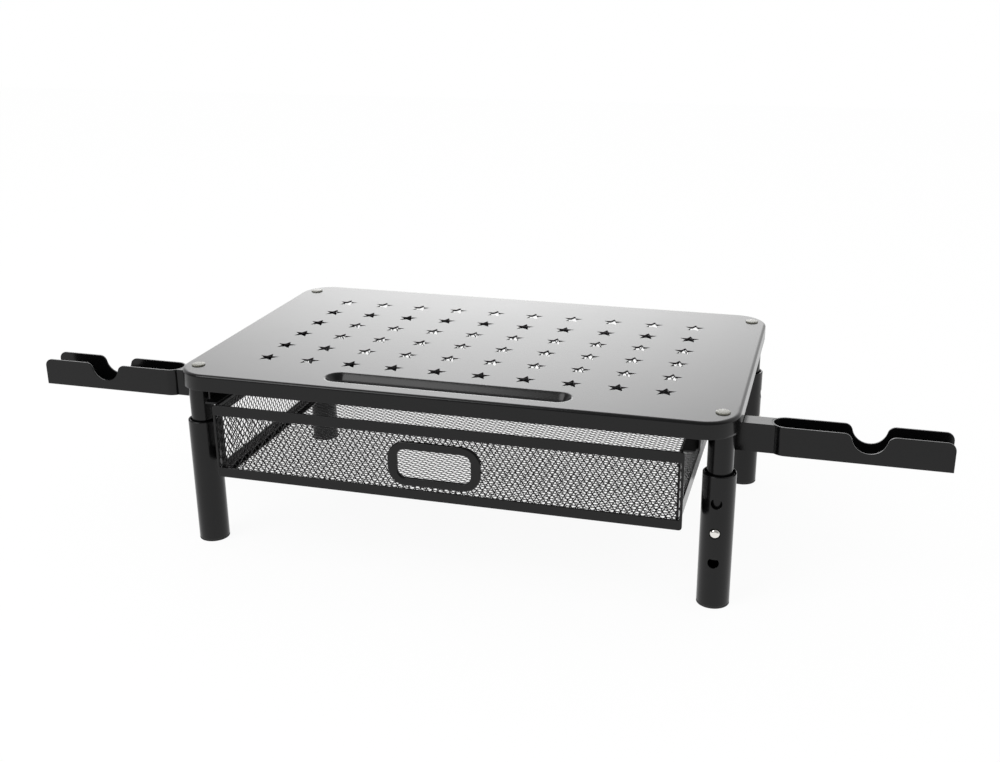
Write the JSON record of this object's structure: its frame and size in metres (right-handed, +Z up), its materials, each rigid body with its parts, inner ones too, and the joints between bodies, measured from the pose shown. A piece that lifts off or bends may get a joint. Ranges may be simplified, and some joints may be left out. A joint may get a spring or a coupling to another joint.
{
  "type": "monitor stand with drawer",
  "caption": "Sheet-metal monitor stand with a sliding mesh drawer, telescoping snap-button legs, a pressed pen groove and a swinging trough holder at each side.",
  "frame": {"origin": "centre of the footprint on the desk surface, at the middle leg setting, drawer closed and holders straight out", "axes": "+X to the user's right along the platform's width, +Y to the back, +Z up"},
  "size_m": [0.6172, 0.2302, 0.1278],
  "materials": {
    "black_powder_coat": "satin black powder coat",
    "clear_pad": "clear soft polyurethane",
    "zinc_plated_steel": "zinc plated",
    "plated_spring_steel": "bright nickel plated",
    "black_plastic": "moulded nylon",
    "black_rubber": "moulded"
  },
  "bodies": {
    "stand": {"top_platform": "black_powder_coat", "pad_front_left": "clear_pad", "leg_boss_front_left": "zinc_plated_steel", "leg_stud_front_left": "zinc_plated_steel", "inner_tube_front_left": "black_powder_coat", "pad_front_right": "clear_pad", "leg_boss_front_right": "zinc_plated_steel", "leg_stud_front_right": "zinc_plated_steel", "inner_tube_front_right": "black_powder_coat", "pad_rear_right": "clear_pad", "leg_boss_rear_right": "zinc_plated_steel", "leg_stud_rear_right": "zinc_plated_steel", "inner_tube_rear_right": "black_powder_coat", "pad_rear_left": "clear_pad", "leg_boss_rear_left": "zinc_plated_steel", "leg_stud_rear_left": "zinc_plated_steel", "inner_tube_rear_left": "black_powder_coat", "drawer_rail_left": "black_powder_coat", "arm_hanger_left": "black_powder_coat", "arm_pivot_left": "zinc_plated_steel", "drawer_rail_right": "black_powder_coat", "arm_hanger_right": "black_powder_coat", "arm_pivot_right": "zinc_plated_steel"},
    "drawer": {"drawer_front_frame": "black_powder_coat", "drawer_front_mesh": "black_powder_coat", "drawer_handle_ring": "black_powder_coat", "drawer_back_frame": "black_powder_coat", "drawer_back_mesh": "black_powder_coat", "drawer_floor_mesh": "black_powder_coat", "drawer_side_frame_left": "black_powder_coat", "drawer_side_mesh_left": "black_powder_coat", "drawer_runner_left": "black_powder_coat", "drawer_side_frame_right": "black_powder_coat", "drawer_side_mesh_right": "black_powder_coat", "drawer_runner_right": "black_powder_coat"},
    "leg_front_left": {"outer_tube_front_left": "black_powder_coat", "collar_bush_front_left": "black_plastic", "foot_cap_front_left": "black_rubber"},
    "button_front_left": {"snap_clip_front_left": "plated_spring_steel"},
    "leg_front_right": {"outer_tube_front_right": "black_powder_coat", "collar_bush_front_right": "black_plastic", "foot_cap_front_right": "black_rubber"},
    "button_front_right": {"snap_clip_front_right": "plated_spring_steel"},
    "leg_rear_right": {"outer_tube_rear_right": "black_powder_coat", "collar_bush_rear_right": "black_plastic", "foot_cap_rear_right": "black_rubber"},
    "button_rear_right": {"snap_clip_rear_right": "plated_spring_steel"},
    "leg_rear_left": {"outer_tube_rear_left": "black_powder_coat", "collar_bush_rear_left": "black_plastic", "foot_cap_rear_left": "black_rubber"},
    "button_rear_left": {"snap_clip_rear_left": "plated_spring_steel"},
    "holder_left": {"holder_trough_left": "black_powder_coat", "holder_floor_left": "black_powder_coat", "holder_neck_left": "black_powder_coat"},
    "holder_right": {"holder_trough_right": "black_powder_coat", "holder_floor_right": "black_powder_coat", "holder_neck_right": "black_powder_coat"}
  },
  "joints": [
    {"name": "drawer_slide", "type": "slide", "parent": "stand", "child": "drawer", "axis": [0, -1, 0], "range_m": [0, 0.17]},
    {"name": "leg_height_front_left", "type": "slide", "parent": "stand", "child": "leg_front_left", "axis": [0, 0, 1], "range_m": [-0.02, 0.02], "deforming": ["snap_clip_front_left"]},
    {"name": "leg_height_front_right", "type": "slide", "parent": "stand", "child": "leg_front_right", "axis": [0, 0, 1], "range_m": [-0.02, 0.02], "deforming": ["snap_clip_front_right"]},
    {"name": "leg_height_rear_right", "type": "slide", "parent": "stand", "child": "leg_rear_right", "axis": [0, 0, 1], "range_m": [-0.02, 0.02], "deforming": ["snap_clip_rear_right"]},
    {"name": "leg_height_rear_left", "type": "slide", "parent": "stand", "child": "leg_rear_left", "axis": [0, 0, 1], "range_m": [-0.02, 0.02], "deforming": ["snap_clip_rear_left"]},
    {"name": "button_press_front_left", "type": "slide", "parent": "stand", "child": "button_front_left", "axis": [1, 0, 0], "range_m": [0, 0.0026], "stiffness_N_per_m": 2000, "springref_m": -0.002, "deforming": ["snap_clip_front_left"]},
    {"name": "button_press_front_right", "type": "slide", "parent": "stand", "child": "button_front_right", "axis": [0, 1, 0], "range_m": [0, 0.0026], "stiffness_N_per_m": 2000, "springref_m": -0.002, "deforming": ["snap_clip_front_right"]},
    {"name": "button_press_rear_right", "type": "slide", "parent": "stand", "child": "button_rear_right", "axis": [-1, 0, 0], "range_m": [0, 0.0026], "stiffness_N_per_m": 2000, "springref_m": -0.002, "deforming": ["snap_clip_rear_right"]},
    {"name": "button_press_rear_left", "type": "slide", "parent": "stand", "child": "button_rear_left", "axis": [0, -1, 0], "range_m": [0, 0.0026], "stiffness_N_per_m": 2000, "springref_m": -0.002, "deforming": ["snap_clip_rear_left"]},
    {"name": "holder_swing_left", "type": "hinge", "parent": "stand", "child": "holder_left", "pos_m": [-0.1755, -0.0674, 0.114], "axis": [0, 0, -1], "range_deg": [0, 90]},
    {"name": "holder_swing_right", "type": "hinge", "parent": "stand", "child": "holder_right", "pos_m": [0.1755, -0.0674, 0.114], "axis": [0, 0, 1], "range_deg": [0, 90]}
  ]
}
